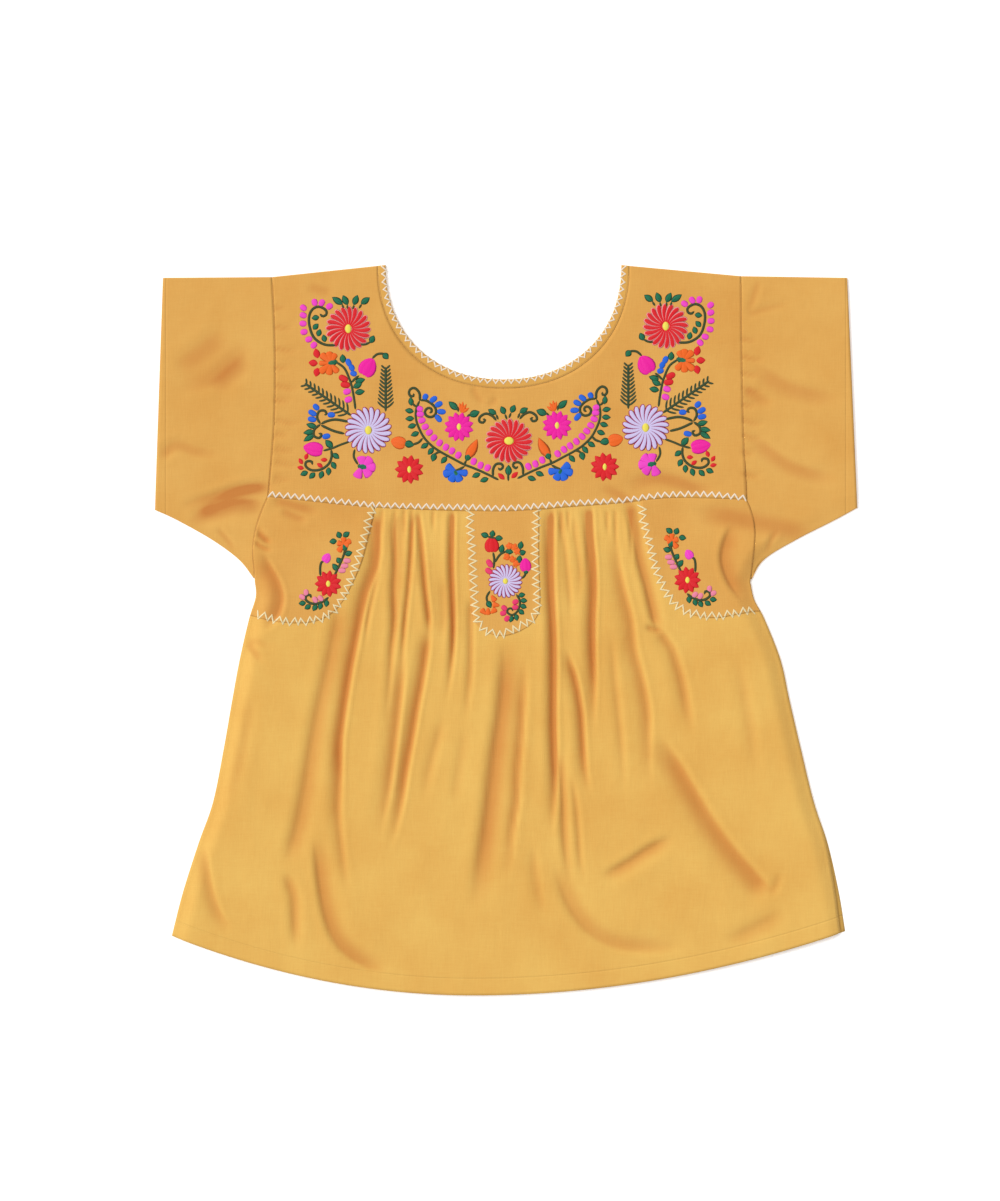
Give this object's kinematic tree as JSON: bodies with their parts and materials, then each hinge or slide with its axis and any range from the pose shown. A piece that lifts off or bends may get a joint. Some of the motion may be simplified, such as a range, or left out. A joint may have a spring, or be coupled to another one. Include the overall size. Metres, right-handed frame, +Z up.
{
  "type": "embroidered blouse",
  "caption": "Short-sleeved cotton blouse with a square embroidered yoke, a gathered body and sewn-on patches, laid flat with its front up.",
  "frame": {"origin": "on the surface the blouse lies on, under the middle of its outline", "axes": "+Z up out of the front, +Y from the hem to the neck, +X to the right as seen from above (the wearer's left)"},
  "size_m": [0.6326, 0.6572, 0.0096],
  "materials": {
    "cotton": "matt plain-woven golden yellow cotton",
    "cotton_doubled": "the same cotton, doubled"
  },
  "bodies": {
    "root": {"body_back": "cotton", "body_front": "cotton", "sleeve_left": "cotton", "sleeve_right": "cotton", "yoke": "cotton", "neck_band": "cotton_doubled", "patch_centre": "cotton_doubled", "patch_left": "cotton_doubled", "patch_right": "cotton_doubled"}
  },
  "joints": []
}
